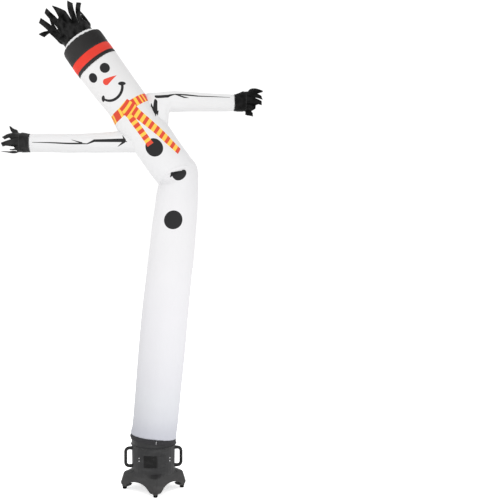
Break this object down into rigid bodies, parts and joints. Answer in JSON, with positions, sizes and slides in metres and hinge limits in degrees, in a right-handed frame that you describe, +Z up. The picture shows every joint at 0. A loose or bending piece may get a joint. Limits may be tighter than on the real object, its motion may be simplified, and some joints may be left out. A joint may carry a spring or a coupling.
{
  "type": "inflatable air dancer on a blower base",
  "caption": "Tall inflated cloth tube figure of a snowman, bent over on a round plastic blower base, with two sleeves and fringed hands and hat.",
  "frame": {"origin": "on the floor, under the middle of the whole object's box", "axes": "+Z up, -Y the printed front, +X to the right seen from the front"},
  "size_m": [1.7976, 0.4456, 3.3333],
  "materials": {
    "white_cloth": "thin white coated nylon with a low sheen",
    "black_cloth": "thin black coated nylon with a low sheen",
    "red_cloth": "thin red coated nylon with a low sheen",
    "black_webbing": "matt woven webbing",
    "charcoal_plastic": "satin charcoal moulding with a fine grain",
    "plate_plastic": "smooth black sheet",
    "black_rubber": "matt moulded rubber",
    "bright_steel": "bright zinc plated"
  },
  "bodies": {
    "root": {"blower_housing": "charcoal_plastic", "foot_1": "black_rubber", "foot_2": "black_rubber", "foot_3": "black_rubber", "foot_4": "black_rubber", "handle_right": "charcoal_plastic", "handle_left": "charcoal_plastic", "front_plate": "plate_plastic", "drum_screw_1": "bright_steel", "drum_screw_2": "bright_steel", "drum_screw_3": "bright_steel", "drum_screw_4": "bright_steel", "grille": "bright_steel", "grille_screw_1": "bright_steel", "grille_screw_2": "bright_steel", "grille_screw_3": "bright_steel", "grille_screw_4": "bright_steel", "collar_strap": "black_webbing", "body_tube": "white_cloth", "arm_left": "white_cloth", "arm_right": "white_cloth", "hand_left": "black_cloth", "hand_right": "black_cloth", "hat_edge": "black_cloth", "hat_band": "red_cloth", "hat_crown": "black_cloth", "top_hem": "white_cloth", "hair_fringe": "black_cloth", "fingers_left": "black_cloth", "fingers_right": "black_cloth"}
  },
  "joints": []
}
